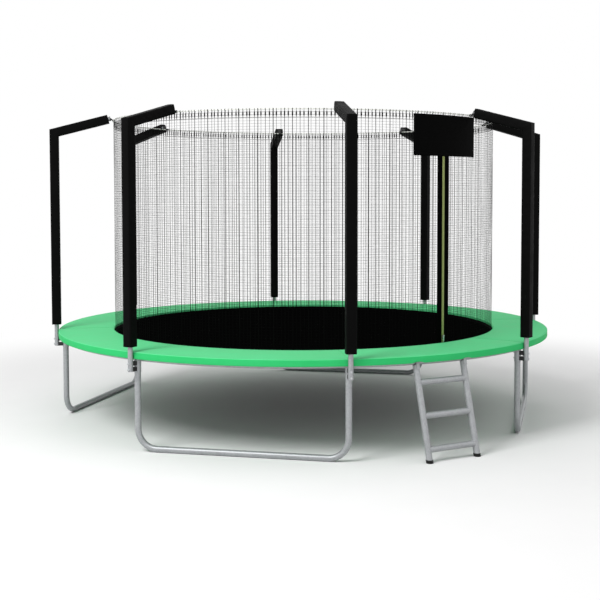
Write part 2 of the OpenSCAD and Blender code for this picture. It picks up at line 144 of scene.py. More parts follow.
def sideways(line):
    # unit vectors square to a flat line, on its right
    ahead = np.gradient(line, axis=0)
    ahead /= np.linalg.norm(ahead, axis=1)[:, None]
    return np.stack([ahead[:, 1], -ahead[:, 0]], -1)


def gridFaces(rows, cols, closeRows=False, closeCols=False):
    r = np.arange(rows if closeRows else rows - 1)[:, None]
    c = np.arange(cols if closeCols else cols - 1)[None, :]
    nextR, nextC = (r + 1) % rows, (c + 1) % cols
    quads = np.stack([r * cols + c, r * cols + nextC, nextR * cols + nextC, nextR * cols + c], -1)
    return quads.reshape(-1, 4)


def endFaces(rows, cols):
    # flat ends of a grid that is closed round its columns
    return [list(range(cols))[::-1], [(rows - 1) * cols + k for k in range(cols)]]


def joined(parts):
    # points and faces of several parts as one
    points, faces, start = [], [], 0
    for partPoints, partFaces in parts:
        points.append(np.asarray(partPoints, float).reshape(-1, 3))
        if isinstance(partFaces, np.ndarray):
            partFaces = partFaces.tolist()
        faces += [[v + start for v in face] for face in partFaces]
        start += len(points[-1])
    return np.concatenate(points), faces


def makeObject(name, points, faces, materials, smooth=True, uv=None, faceMaterial=None):
    mesh = bpy.data.meshes.new(name)
    points = np.asarray(points, float).reshape(-1, 3)
    mesh.from_pydata(points.tolist(), [], [list(f) for f in faces])
    for material in materials if isinstance(materials, (list, tuple)) else [materials]:
        mesh.materials.append(material)
    mesh.polygons.foreach_set("use_smooth", [smooth] * len(mesh.polygons))
    if faceMaterial is not None:
        mesh.polygons.foreach_set("material_index", faceMaterial)
    if uv is not None:
        corner = np.zeros(len(mesh.loops), np.int32)
        mesh.loops.foreach_get("vertex_index", corner)
        layer = mesh.uv_layers.new(name="metres")
        layer.data.foreach_set("uv", np.asarray(uv, np.float32)[corner].ravel())
    mesh.update()
    obj = bpy.data.objects.new(name, mesh)
    bpy.context.scene.collection.objects.link(obj)
    return obj


def settle(piece, body=None, replaced=()):
    # the body a piece rides and the solids it stands for
    if body:
        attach(piece, body)
    if replaced:
        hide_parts(*replaced)
    return piece


def tubePoints(path, radius, sides, closed=False):
    # points of a round tube along a path, with a frame carried along it
    path = np.asarray(path, float)
    ahead = np.roll(path, -1, 0) - np.roll(path, 1, 0)
    if not closed:
        ahead[0], ahead[-1] = path[1] - path[0], path[-1] - path[-2]
    ahead /= np.linalg.norm(ahead, axis=1)[:, None]
    # the frame starts square to any direction that isn't nearly the path's own
    side = np.cross(ahead[0], [0.137, 0.291, 0.947])
    if np.linalg.norm(side) < 0.1:
        side = np.cross(ahead[0], [0.947, 0.137, 0.291])
    sidesOut = []
    for direction in ahead:
        side = side - direction * np.dot(side, direction)
        side = side / np.linalg.norm(side)
        sidesOut.append(side)
    across = np.array(sidesOut)
    up = np.cross(ahead, across)
    turn = np.arange(sides) * 2 * math.pi / sides
    ring = across[:, None] * np.cos(turn)[None, :, None] + up[:, None] * np.sin(turn)[None, :, None]
    return path[:, None] + radius * ring


def ribbon(line, widths, thick):
    # flat strip along a line in the x-z plane, its width lying along the ring
    line = np.asarray(line)
    out = sideways(line) * thick / 2
    half = np.broadcast_to(widths, len(line)) / 2
    corners = [(line + s * out, w * half) for s, w in ((1, 1), (1, -1), (-1, -1), (-1, 1))]
    return np.stack([np.stack([p[:, 0], y, p[:, 1]], -1) for p, y in corners], 1)


def copies(name, local, faces, azimuths, material, **extra):
    # one piece made of the same local shape at many azimuths
    local = np.asarray(local, float).reshape(-1, 3)
    points = np.concatenate([place(az, *local.T) for az in azimuths])
    faces = np.concatenate([faces + k * len(local) for k in range(len(azimuths))])
    return makeObject(name, points, faces, material, **extra)


def roundedBox(low, high, soft):
    # points and faces of a box with bevelled edges
    cube = bmesh.new()
    bmesh.ops.create_cube(cube, size=1)
    size, middle = np.subtract(high, low), np.add(high, low) / 2
    for v in cube.verts:
        v.co = Vector(np.array(v.co) * size + middle)
    bmesh.ops.bevel(cube, geom=cube.edges[:] + cube.verts[:], offset=soft, segments=2, profile=0.6,
                    affect="EDGES")
    cube.verts.index_update()
    points = np.array([tuple(v.co) for v in cube.verts])
    faces = [[v.index for v in f.verts] for f in cube.faces]
    cube.free()
    return points, faces


clothSpec = {"quality": 6, "mass": 0.3, "damping": 2}


def clothPoints(points, faces, held, spec):
    # blows a copy up a little with the cloth solver, its held points fixed, and gives the points back
    work = makeObject("cloth_blank", points, faces, [])
    group = work.vertex_groups.new(name="held")
    group.add([int(v) for v in np.flatnonzero(held)], 1.0, "REPLACE")
    modifier = work.modifiers.new("cloth", "CLOTH")
    cloth = modifier.settings
    cloth.quality = clothSpec["quality"]
    cloth.mass = clothSpec["mass"]
    cloth.tension_stiffness = cloth.compression_stiffness = spec["stiff"]
    cloth.shear_stiffness = spec["shear"]
    cloth.bending_stiffness = spec["bend"]
    cloth.air_damping = clothSpec["damping"]
    cloth.vertex_group_mass = "held"
    cloth.shrink_min = -spec["slack"]
    cloth.use_pressure = True
    cloth.uniform_pressure_force = spec["pressure"]
    cloth.effector_weights.gravity = 0
    modifier.point_cache.frame_start = 1
    modifier.point_cache.frame_end = spec["frames"]
    for step in range(1, spec["frames"] + 1):
        bpy.context.scene.frame_set(step)
    settled = work.evaluated_get(bpy.context.evaluated_depsgraph_get()).to_mesh()
    out = np.zeros(len(settled.vertices) * 3, np.float32)
    settled.vertices.foreach_get("co", out)
    bpy.context.scene.frame_set(1)
    blank = work.data
    bpy.data.objects.remove(work, do_unlink=True)
    bpy.data.meshes.remove(blank)
    return out.reshape(-1, 3)


def reliefAt(table, u, v):
    # height of a relief table at shares u and v of its sides
    i = np.clip(np.asarray(u, float), 0, 1) * (table.shape[0] - 1)
    j = np.clip(np.asarray(v, float), 0, 1) * (table.shape[1] - 1)
    i0, j0 = np.minimum(i.astype(int), table.shape[0] - 2), np.minimum(j.astype(int), table.shape[1] - 2)
    a, b = i - i0, j - j0
    return ((1 - a) * (1 - b) * table[i0, j0] + a * (1 - b) * table[i0 + 1, j0]
            + (1 - a) * b * table[i0, j0 + 1] + a * b * table[i0 + 1, j0 + 1])


stitchSpec = {"pitch": 8 * mm, "length": 5 * mm, "wide": 1.3 * mm, "lift": 0.7 * mm, "sink": 0.28 * mm}


def stitchRow(path, out=None):
    # one row of thread: a slim lozenge for each stitch. The cloth faces out, or away from the middle.
    spec, path = stitchSpec, np.asarray(path, float)
    out = path * (1, 1, 0) if out is None else np.broadcast_to(np.asarray(out, float), path.shape)
    lengths = lengthsAlong(path)
    starts = np.arange(spec["pitch"] / 2, lengths[-1] - spec["length"], spec["pitch"])

    def at(s, values):
        return np.stack([np.interp(s, lengths, values[:, k]) for k in range(3)], -1)
    head, middle, tail = [at(starts + spec["length"] * share, path) for share in (0, 0.5, 1)]
    up = at(starts + spec["length"] / 2, out)
    up /= np.linalg.norm(up, axis=1)[:, None]
    along = tail - head
    along /= np.linalg.norm(along, axis=1)[:, None]
    side = np.cross(along, up) * spec["wide"] / 2
    lift, sink = up * spec["lift"], up * spec["sink"]
    points = [head, middle + side, middle + lift, middle - side, middle - sink, tail]
    lozenge = np.array([(0, 2, 1), (0, 3, 2), (0, 4, 3), (0, 1, 4),
                        (5, 1, 2), (5, 2, 3), (5, 3, 4), (5, 4, 1)])
    faces = lozenge[None] + len(points) * np.arange(len(starts))[:, None, None]
    return np.stack(points, 1), faces.reshape(-1, 3)


def makeStitches(name, rows, material, body):
    return settle(makeObject(name, *joined(rows), material), body)


def addNode(tree, kind, inputs=None, **settings):
    node = tree.nodes.new("ShaderNode" + kind)
    for key, value in settings.items():
        setattr(node, key, value)
    for key, value in (inputs or {}).items():
        if isinstance(value, bpy.types.NodeSocket):
            tree.links.new(value, node.inputs[key])
        else:
            node.inputs[key].default_value = value
    return node


def emptyMaterial(name):
    material = bpy.data.materials.new(name)
    material.use_nodes = True
    material.node_tree.nodes.clear()
    return material, material.node_tree


# Finishes: each gives what goes into the shader. Every pattern is sized in millimetres.
# A Mix node's colours are its inputs 6 and 7 and its output 2.
metreMm = 1000                                # over a pattern's size, gives its scale
waveUnit = 2 * math.pi / 20 * metreMm         # scale of the wave node for bands 1 mm apart


def galvanisedSteel(tree, spec):
    # zinc skin from a hot bath: faint spangle cells under cloudy run marks
    where = addNode(tree, "TexCoord").outputs["Object"]
    cell = addNode(tree, "TexVoronoi", {"Vector": where, "Scale": metreMm / spec["spangleMm"]})
    shade = addNode(tree, "RGBToBW", {"Color": cell.outputs["Color"]})
    cloud = addNode(tree, "TexNoise", {"Vector": where, "Scale": metreMm / spec["cloudMm"], "Detail": 4.0})
    grit = addNode(tree, "TexNoise", {"Vector": where, "Scale": metreMm / spec["gritMm"]})
    tone = addNode(tree, "Mix", {0: 0.5, 2: shade.outputs[0], 3: cloud.outputs["Fac"]}).outputs[0]
    colour = addNode(tree, "Mix", {0: tone, 6: linear(spec["dark"]), 7: linear(spec["light"])},
                     data_type="RGBA")
    rough = addNode(tree, "MapRange", {"Value": tone, "From Min": 0.2, "From Max": 0.8,
                                       "To Min": spec["rough"][0], "To Max": spec["rough"][1]})
    normal = addNode(tree, "Bump", {"Height": grit.outputs["Fac"], "Distance": spec["gritDeepMm"] * mm})
    return {"Base Color": colour.outputs[2], "Roughness": rough.outputs[0], "Normal": normal.outputs[0],
            "Metallic": spec["metal"], "Specular IOR Level": spec["specular"]}


def zincPlate(tree, spec):
    # thin bright plating, slightly cloudy where it was handled
    where = addNode(tree, "TexCoord").outputs["Object"]
    smear = addNode(tree, "TexNoise", {"Vector": where, "Scale": metreMm / spec["smearMm"], "Detail": 3.0})
    cloud = addNode(tree, "TexNoise", {"Vector": where, "Scale": metreMm / spec["cloudMm"]}).outputs["Fac"]
    colour = addNode(tree, "Mix", {0: cloud, 6: linear(spec["dark"]), 7: linear(spec["light"])},
                     data_type="RGBA")
    rough = addNode(tree, "MapRange", {"Value": smear.outputs["Fac"], "From Min": 0.3, "From Max": 0.7,
                                       "To Min": spec["rough"][0], "To Max": spec["rough"][1]})
    return {"Base Color": colour.outputs[2], "Roughness": rough.outputs[0], "Metallic": 1.0}


def coatedCloth(tree, spec):
    # cloth coated with soft vinyl: a fine pebble grain over slow wrinkles
    where = addNode(tree, "TexCoord").outputs["Object"]
    cloud = addNode(tree, "TexNoise", {"Vector": where, "Scale": metreMm / spec["cloudMm"], "Detail": 3.0})
    pebble = addNode(tree, "TexVoronoi", {"Vector": where, "Scale": metreMm / spec["pebbleMm"]})
    slow = addNode(tree, "TexNoise", {"Vector": where, "Scale": metreMm / spec["wrinkleMm"]})
    wrinkle = addNode(tree, "Bump", {"Height": slow.outputs["Fac"], "Distance": spec["wrinkleDeepMm"] * mm})
    normal = addNode(tree, "Bump", {"Height": pebble.outputs["Distance"], "Normal": wrinkle.outputs[0],
                                    "Distance": spec["pebbleDeepMm"] * mm})
    share = addNode(tree, "MapRange", {"Value": cloud.outputs["Fac"], "From Min": 0.35, "From Max": 0.65})
    colour = addNode(tree, "Mix", {0: share.outputs[0], 6: linear(spec["colour"]), 7: linear(spec["shade"])},
                     data_type="RGBA")
    rough = addNode(tree, "MapRange", {"Value": cloud.outputs["Fac"], "From Min": 0.3, "From Max": 0.7,
                                       "To Min": spec["rough"] - 0.06, "To Max": spec["rough"] + 0.08})
    return {"Base Color": colour.outputs[2], "Roughness": rough.outputs[0], "Normal": normal.outputs[0],
            "Specular IOR Level": spec["specular"]}


def wovenCloth(tree, spec):
    # plain weave: two sets of threads that pass over each other, drawn coarse enough to show close by
    where = addNode(tree, "TexCoord").outputs["UV"]
    across, along = [addNode(tree, "TexWave", {"Vector": where, "Scale": waveUnit / spec["pitchMm"]},
                             bands_direction=axis).outputs["Fac"] for axis in "XY"]
    weave = addNode(tree, "Math", {0: across, 1: along}, operation="MULTIPLY").outputs[0]
    colour = addNode(tree, "Mix", {0: weave, 6: linear(spec["shade"]), 7: linear(spec["colour"])},
                     data_type="RGBA")
    normal = addNode(tree, "Bump", {"Height": weave, "Distance": spec["deepMm"] * mm})
    return {"Base Color": colour.outputs[2], "Roughness": spec["rough"], "Normal": normal.outputs[0],
            "Specular IOR Level": spec["specular"]}


def mouldedGrain(tree, spec):
    # plastic, rubber, yarn or thread with a fine grain and uneven gloss
    where = addNode(tree, "TexCoord").outputs["Object"]
    cloud = addNode(tree, "TexNoise", {"Vector": where, "Scale": metreMm / spec["cloudMm"], "Detail": 3.0})
    grit = addNode(tree, "TexNoise", {"Vector": where, "Scale": metreMm / spec["grainMm"]})
    rough = addNode(tree, "MapRange", {"Value": cloud.outputs["Fac"], "From Min": 0.3, "From Max": 0.7,
                                       "To Min": spec["rough"] - 0.06, "To Max": spec["rough"] + 0.1})
    normal = addNode(tree, "Bump", {"Height": grit.outputs["Fac"], "Distance": spec["grainDeepMm"] * mm})
    return {"Base Color": linear(spec["colour"]), "Roughness": rough.outputs[0], "Normal": normal.outputs[0],
            "Specular IOR Level": spec["specular"]}


def makeFinish(name, finish, usual=(), **own):
    material, tree = emptyMaterial(name)
    shader = addNode(tree, "BsdfPrincipled", finish(tree, {**dict(usual), **own}))
    addNode(tree, "OutputMaterial", {"Surface": shader.outputs[0]})
    return material


# what the finishes of one kind share, unless one says otherwise
vinyl = {"cloudMm": 140, "pebbleMm": 1.6, "pebbleDeepMm": 0.05, "wrinkleMm": 70, "wrinkleDeepMm": 0.8,
         "rough": 0.62, "specular": 0.12}
weave = {"pitchMm": 1.2, "deepMm": 0.1, "rough": 0.9, "specular": 0.04}
grain = {"cloudMm": 30, "grainMm": 0.6, "grainDeepMm": 0.05, "rough": 0.45, "specular": 0.5}

# dull silver-grey tube whose shine breaks up softly
steel = makeFinish("galvanised_steel", galvanisedSteel, dark="8B8E91", light="B0B2B4", metal=0.4,
                   specular=0.4, rough=(0.32, 0.5), spangleMm=9, cloudMm=60, gritMm=1.5, gritDeepMm=0.02)
# sharper, brighter glints on wire, bolts and slider
zinc = makeFinish("bright_zinc", zincPlate, dark="B4B7BA", light="D8D9DA", rough=(0.22, 0.4), smearMm=12,
                  cloudMm=25)
# matt light green top; the skirt is the same vinyl with painted shade, a deeper green for its upright side
padVinyl = makeFinish("green_pad_vinyl", coatedCloth, vinyl, colour="55CD86", shade="5BD18C")
skirtVinylPaintedShade = makeFinish("green_skirt_vinyl_painted_shade", coatedCloth, vinyl, colour="2DB968", shade="32BC6C")
# black with a low sheen that shows the folds
sleeveVinyl = makeFinish("black_sleeve_vinyl", coatedCloth, vinyl, colour="020202", shade="040404",
                         rough=0.55, specular=0.05, wrinkleDeepMm=1.2)
# dead black from the side, with a dark weave from above
matCloth = makeFinish("black_mat_weave", wovenCloth, weave, colour="0A0A0A", shade="040404", pitchMm=2.6,
                      deepMm=0.25, rough=1.0, specular=0.0)
# ribbed black tape
webbing = makeFinish("black_webbing", wovenCloth, weave, colour="060606", shade="020202", pitchMm=1.8,
                     deepMm=0.2)
# deep black, close weaves with next to no shine
doorCloth = makeFinish("black_door_cloth", wovenCloth, weave, colour="030303", shade="010101", deepMm=0.12,
                       specular=0.02)
signCloth = makeFinish("black_sign_cloth", wovenCloth, weave, colour="030303", shade="010101", pitchMm=1.0,
                       rough=0.8)
# yellow-green tape under teeth a shade lighter
zipTape = makeFinish("green_zip_tape", wovenCloth, weave, colour="9AA46B", shade="858F59")
zipPlastic = makeFinish("green_zip_teeth", mouldedGrain, grain, colour="B1BB79", specular=0.2)
# flat polyethylene yarn, near black with hardly a glint
netYarn = makeFinish("black_net_yarn", mouldedGrain, grain, colour="060606", rough=0.85, grainMm=1.0,
                     specular=0.03)
# polypropylene with a soft gloss, and duller rubber
blackPlastic = makeFinish("black_moulded_plastic", mouldedGrain, grain, colour="101010", grainMm=0.8)
blackRubber = makeFinish("black_rubber", mouldedGrain, grain, colour="0C0C0C", rough=0.7, grainMm=1.2,
                         specular=0.3)
# smooth off-white rod
glassFibre = makeFinish("glass_fibre_rod", mouldedGrain, grain, colour="DEDFD8", rough=0.35)
# thread a little darker or lighter than its cloth, so that the rows can be made out
greenThread = makeFinish("green_sewing_thread", mouldedGrain, grain, colour="3CAF68", rough=0.7, grainMm=0.5,
                         specular=0.15)
blackThread = makeFinish("black_sewing_thread", mouldedGrain, grain, colour="1A1A1A", rough=0.75, grainMm=0.5,
                         specular=0.12)
# dull grey cut foam at the sleeves' ends
foam = makeFinish("grey_foam", mouldedGrain, grain, colour="2A2A2A", rough=0.95, grainMm=1.5, specular=0.1)
print("materials made")


for nodeNames, nodeMaterial in ((("top_rail_", "leg_upright_", "leg_base_", "net_pole_"), steel),
                                (("pole_spacers", "pole_caps"), blackPlastic), (("net_hoop",), glassFibre),
                                (("pole_bolts", "zip_slider", "zip_pull"), zinc)):
    for nodeName, obj in nodes.items():
        if nodeName.startswith(nodeNames):
            obj.data.materials.clear()
            obj.data.materials.append(nodeMaterial)


# Ladder: its rails and rungs are as stout as the frame's tube
ladderSpec = {"wide": 426 * mm, "tilt": 15, "hingeX": 2099.22 * mm, "tube": 48 * mm, "wall": 1.5 * mm,
              "railX": 0.3 * mm, "cope": 29 * mm, "rungD": 47 * mm, "rungHeights": (92, 327, 562),
              "bead": 1.9 * mm, "capWall": 2.6 * mm, "capH": 24 * mm, "capSoft": 2 * mm, "railEnd": 12 * mm,
              "barW": 26 * mm, "barT": 5 * mm, "barR": 28.8 * mm, "barWeld": 32 * mm, "sides": 40}


def ladderPlace(spec, x, y, z):
    # local frame on the hinge line, -z down the rails
    sine, cosine = sinCos(spec["tilt"])
    return place(ladderAz, spec["hingeX"] + x * cosine - z * sine, y, ringH + x * sine + z * cosine)


def groundDepth(spec, x):
    sine, cosine = sinCos(spec["tilt"])
    return -(ringH + x * sine) / cosine


def ladderPiece(name, parts, replaced, material=steel, smooth=True):
    # parts are grids of local points, closed all round, with flat ends where asked
    placed = []
    for rows, closeRows in parts:
        rows = np.asarray(rows, float)
        count, cols = rows.shape[:2]
        faces = gridFaces(count, cols, closeRows=closeRows, closeCols=True).tolist()
        faces += [] if closeRows else endFaces(count, cols)
        placed.append((ladderPlace(ladderSpec, *rows.reshape(-1, 3).T), faces))
    settle(makeObject(name, *joined(placed), material, smooth=smooth), "ladder", replaced)


def ladderPipe(rowsAt, r, wall):
    # outer and inner skin of a pipe, each with a second row near its ends to keep the shading even
    return rowsAt(r) + rowsAt(r - wall)[::-1], True


def makeLadder(spec):
    turn = np.arange(spec["sides"]) * 2 * math.pi / spec["sides"]
    outer, half, cope = spec["tube"] / 2, spec["wide"] / 2, spec["cope"]
    rails, rungs, caps, bars = [], [], [], []
    for side in (-1, 1):
        def across(r):
            return spec["railX"] + r * np.cos(turn), side * half + r * np.sin(turn)

        def railRows(r):
            x, y = across(r)
            low, top = groundDepth(spec, x) + spec["railEnd"], -np.sqrt(cope ** 2 - x ** 2)
            return [np.stack([x, y, z], -1) for z in (low, low + 3 * mm, top - 3 * mm, top)]
        rails.append(ladderPipe(railRows, outer, spec["wall"]))
        rows = []
        cup, bore, capH = outer + spec["capWall"], outer + 0.2 * mm, spec["capH"]
        for r, rise in ((cup, 0), (cup, capH - spec["capSoft"]), (cup - 0.75 * spec["capSoft"], capH),
                        (bore, capH), (bore, spec["railEnd"] - 1 * mm)):
            x, y = across(r)
            rows.append(np.stack([x, y, groundDepth(spec, x) + rise], -1))
        caps.append((rows, False))
        # the bar lies on the rail's outside, crosses to the ring and goes over it
        face = spec["railX"] + outer + spec["barT"] / 2 - 0.3 * mm
        line = [(face, -cope - spec["barWeld"]), (face, -cope - 6 * mm), (spec["barR"], -cope + 10 * mm)]
        line += arc(0, 0, spec["barR"], np.linspace(0, 200, 25))
        bars.append((ribbon(line, spec["barW"], spec["barT"]) + (0, side * half, 0), False))
    for height in spec["rungHeights"]:
        drop = (ringH - height * mm) / sinCos(spec["tilt"])[1]

        def rungRows(r):
            x, z = r * np.cos(turn), r * np.sin(turn) - drop
            reach = half - np.sqrt(outer ** 2 - x ** 2) + 0.4 * mm
            return [np.stack([spec["railX"] + x, y, z], -1)
                    for y in (-reach, 2 * mm - reach, reach - 2 * mm, reach)]
        rungs.append(ladderPipe(rungRows, spec["rungD"] / 2, spec["wall"]))
        first, *_, last = rungRows(spec["rungD"] / 2)
        for side, saddle in ((-1, first), (1, last)):
            rungs.append((tubePoints(saddle - (0, side * 0.7 * mm, 0), spec["bead"], 6, closed=True), True))
    ladderPiece("ladder_rail_tubes", rails, ["ladder_rail_left", "ladder_rail_right"])
    ladderPiece("ladder_rung_tubes", rungs, ["ladder_rung_1", "ladder_rung_2", "ladder_rung_3"])
    ladderPiece("ladder_foot_caps", caps, ["ladder_feet"], blackRubber)
    ladderPiece("ladder_hook_bars", bars, ["ladder_hooks"], smooth=False)


makeLadder(ladderSpec)
print("ladder made")


padSpec = {"edge": 7 * mm, "crown": 6 * mm, "skirtT": 10 * mm, "stepDeg": 0.45, "uvR": 1.93,
           "seamDeg": 0.3, "seamGapDeg": 0.008, "seamRowDeg": 0.12, "seamDeep": 1.6 * mm, "seamIn": 9 * mm,
           "wave": 1.1 * mm, "waveSeam": 1.5 * mm,
           "shadeMargin": 5 * mm, "rowEnd": 0.006, "seamRow": 0.0065, "seamRowEnd": 0.03,
           "threadSink": 0.3 * mm, "hemRow": 8 * mm,
           "hookR": 34.5 * mm, "hookHalf": 16 * mm, "tuckDeg": 0.9, "tuckExtra": 1.5 * mm, "tuckH": 20 * mm,
           "cloth": {"stiff": 15, "shear": 5, "bend": 0.5, "slack": 0.02, "pressure": 0.7, "frames": 20},
           "clothGrid": (112, 36), "shake": 0.6 * mm}


def padRelief(spec):
    # the top skin of one bay, sewn down all round and let up over its foam by the cloth solver
    n, m = spec["clothGrid"]
    long, wide = math.radians(bayDeg) * (padIn + padOut) / 2, padOut - padIn
    x, y = np.meshgrid(np.linspace(0, long, n), np.linspace(0, wide, m), indexing="ij")
    start = spec["shake"] * np.random.default_rng(4).standard_normal(x.shape)
    held = np.zeros((n, m), bool)
    held[[0, -1]] = True
    held[:, [0, -1]] = True
    start[held] = 0
    settled = clothPoints(np.stack([x, y, start], -1), gridFaces(n, m)[:, ::-1], held.ravel(), spec["cloth"])
    height = np.maximum(settled.reshape(n, m, 3)[..., 2], 0)
    return spec["crown"] * np.tanh(height / np.percentile(height, 90))


def padProfile(spec):
    # outline of the cover in r and z, from the inner underside over the top to the skirt
    edge, skirtIn, soft = spec["edge"], padOut - spec["skirtT"], 2 * mm
    points = [(padIn + soft, padUnder), (padIn, padUnder + 3 * mm), (padIn, padTop - edge)]
    points += arc(padIn + edge, padTop - edge, edge, range(165, 89, -15))
    points += [(r, padTop) for r in np.linspace(padIn + edge, padOut - edge, 36)[1:-1]]
    points += arc(padOut - edge, padTop - edge, edge, range(90, -1, -15))
    points += [(padOut, z) for z in np.linspace(padTop - edge - 5 * mm, padLow + soft, 6)]
    points += [(padOut - soft, padLow), (skirtIn + soft, padLow), (skirtIn, padLow + soft),
               (skirtIn, padUnder)]
    # close rows near the ring, where the notches for the ladder's hooks are
    points += [(r, padUnder) for r in np.arange(skirtIn - 3 * mm, ringR - 50 * mm, -3 * mm)]
    points += [(r, padUnder) for r in np.linspace(ringR - 60 * mm, padIn + 20 * mm, 12)]
    return np.array(points)


def padRise(relief, i, along, share):
    # both are shares of a bay, along the ring and across the pad. Every other bay is mirrored.
    return reliefAt(relief, along if i % 2 else 1 - along, share)


def padHooks(spec):
    half = math.degrees(spec["hookHalf"] / ringR)
    turn = math.degrees(math.atan(ladderSpec["wide"] / 2 / ladderSpec["hingeX"]))
    return [(ladderAz + side * turn, half) for side in (-1, 1)]


def padBay(spec, i, relief):
    first, last = legAz(i) + spec["seamGapDeg"], legAz(i + 1) - spec["seamGapDeg"]
    stations = list(np.arange(first, last, spec["stepDeg"]))
    stations += [first + spec["seamRowDeg"], last - spec["seamRowDeg"], last]
    hooks = padHooks(spec)
    for hookAz, half in hooks:
        stations += [hookAz + side * more for side in (-1, 1)
                     for more in (half, half + 0.01, half + spec["tuckDeg"])]
    stations = sorted(az for az in set(stations) if first <= az <= last)
    profile = padProfile(spec)
    tuckTop = padTop - spec["tuckH"]
    rows, uv = [], []
    for az in stations:
        r, z = profile.T.copy()
        share = np.clip((r - padIn) / (padOut - padIn), 0, 1)
        top = z > padTop - near
        sewn = math.exp(-min(az - first, last - az) / spec["seamDeg"])
        along = (az - first) / (last - first)
        z[top] += padRise(relief, i, along, share[top]) - spec["seamDeep"] * sewn
        skirt = (r > padOut - near) & (z < padTop - spec["edge"] - 1 * mm)
        waves = np.array([waver(az * 0.5, h * 22, 3) for h in z[skirt]])
        r[skirt] += spec["wave"] * waves - spec["waveSeam"] * sewn
        for hookAz, half in hooks:
            # the skirt is tucked up where the ladder's hooks swing out under it
            away = (abs(az - hookAz) - half) / spec["tuckDeg"]
            tuck = (hemDrop + spec["tuckExtra"]) * (1 - min(1, max(0, away)))
            isHem = r > padOut - spec["skirtT"] - near
            z[isHem] += tuck * np.clip((tuckTop - z[isHem]) / (tuckTop - padLow), 0, 1)
            if abs(az - hookAz) <= half + near:
                low = np.abs(z - padUnder) < near
                middle = ladderSpec["hingeX"] / math.cos(math.radians(hookAz - ladderAz))
                reach = spec["hookR"] ** 2 - (r - middle) ** 2
                z[low] = np.maximum(z[low], ringH + np.sqrt(np.maximum(reach[low], 0)))
        rows.append(place(az, r, 0, z))
        uv.append(np.stack([np.full(len(r), math.radians(az) * spec["uvR"]), lengthsAlong(profile)], -1))
    count, cols = len(stations), len(profile)
    faces = gridFaces(count, cols, closeCols=True)
    outer, centre = profile[faces % cols].mean(1).T
    # faces of the skirt below the rounded edge take the copy of the vinyl painted deeper green as shade
    isShadedSkirt = (outer > padOut - spec["shadeMargin"]) & (centre < padTop - spec["shadeMargin"])
    which = isShadedSkirt.astype(int).tolist() + [0, 0]
    return (np.concatenate(rows), faces.tolist() + endFaces(count, cols)), uv, which


def padStitches(spec, relief):
    # one row inside each long edge, one above the skirt's hem, and one each side of every seam
    rows = []
    inset = spec["seamIn"] / (padOut - padIn)

    def sewTop(i, along, share, sink=0.0):
        along, share = np.broadcast_arrays(along, share)
        z = padTop + padRise(relief, i, along, share) - sink
        path = place(legAz(i) + bayDeg * along, padIn + share * (padOut - padIn), 0, z)
        rows.append(stitchRow(path, skyward))
    for i in range(bays):
        along = np.linspace(spec["rowEnd"], 1 - spec["rowEnd"], 120)
        for share in (inset, 1 - inset):
            sewTop(i, along, share)
        rows.append(stitchRow(place(legAz(i) + bayDeg * along, padOut + 0.2 * mm, 0,
                                    padLow + spec["hemRow"])))
        for edge in (spec["seamRow"], 1 - spec["seamRow"]):
            sewTop(i, edge, np.linspace(spec["seamRowEnd"], 1 - spec["seamRowEnd"], 40), spec["threadSink"])
    makeStitches("pad_stitches", rows, greenThread, "frame")


def makePad(spec):
    relief = padRelief(spec)
    parts, uv, which = zip(*[padBay(spec, i, relief) for i in range(bays)])
    pad = makeObject("pad_cover", *joined(parts), [padVinyl, skirtVinylPaintedShade], uv=np.concatenate(sum(uv, [])),
                     faceMaterial=sum(which, []))
    settle(pad, "frame", ["safety_pad"])
    padStitches(spec, relief)


makePad(padSpec)
print("pad made")


sleeveSpec = {"width": 76 * mm, "corner": 7 * mm, "tilt": 15, "bendH": 2462 * mm, "reach": 475.7 * mm,
              "foot": 41 * mm, "bore": 19.5 * mm, "boreDeep": 60 * mm, "step": 14 * mm, "perSide": 8,
              "puff": 1.7 * mm, "rub": 0.4 * mm, "shake": 0.3 * mm, "foldShift": 0.37, "foldClear": 0.02,
              "seamHalf": 4 * mm, "hemRow": 12 * mm, "rowEnd": 10 * mm, "clothRows": 171,
              "cloth": {"stiff": 12, "shear": 4, "bend": 0.3, "slack": 0.015, "pressure": 1.0, "frames": 18}}
sideCols = sleeveSpec["perSide"] + 3          # columns from one corner of the square to the next


def sleeveSection(spec):
    # rounded square, as offsets outwards and along the ring, from the middle of the inner face
    r = spec["corner"]
    flat = spec["width"] / 2 - r
    corners = [arc(x * flat, y * flat, r, np.array([0, 30, 60, 90]) + 90 * k)
               for k, (x, y) in enumerate(((1, 1), (-1, 1), (-1, -1), (1, -1)))]
    out = []
    for k, corner in enumerate(corners):
        here, there = np.array(corner[-1]), np.array(corners[(k + 1) % 4][0])
        shares = np.linspace(0, 1, spec["perSide"] + 1)[1:-1]
        out += corner + [tuple(here + share * (there - here)) for share in shares]
    return np.array(out)


def faceOf(section):
    # which face of the square each point of the section lies on, as a unit vector
    return np.where(np.abs(section[:, :1]) > np.abs(section[:, 1:]), (1, 0), (0, 1)) * np.sign(section)


def sleeveRelief(spec):
    # a straight length of the cover as a square tube, held along its four corners and at its ends
    section = sleeveSection(spec)
    rows, long = spec["clothRows"], spec["bendH"] - padTop + spec["reach"]
    cols = len(section)
    z = np.repeat(np.linspace(0, long, rows), cols).reshape(rows, cols, 1)
    tube = np.concatenate([np.tile(section, (rows, 1, 1)), z], -1)
    held = np.tile(np.arange(cols) % sideCols < 4, (rows, 1))
    held[[0, -1]] = True
    shake = np.random.default_rng(9).standard_normal(tube.shape) * spec["shake"]
    shake[held] = 0
    settled = clothPoints(tube + shake, gridFaces(rows, cols, closeCols=True), held.ravel(), spec["cloth"])
    moved = settled.reshape(rows, cols, 3) - tube
    height = np.einsum("rcx,cx->rc", moved[..., :2], faceOf(section))
    return spec["puff"] * np.tanh(height / (np.percentile(np.abs(height), 92) + 1e-9)), section


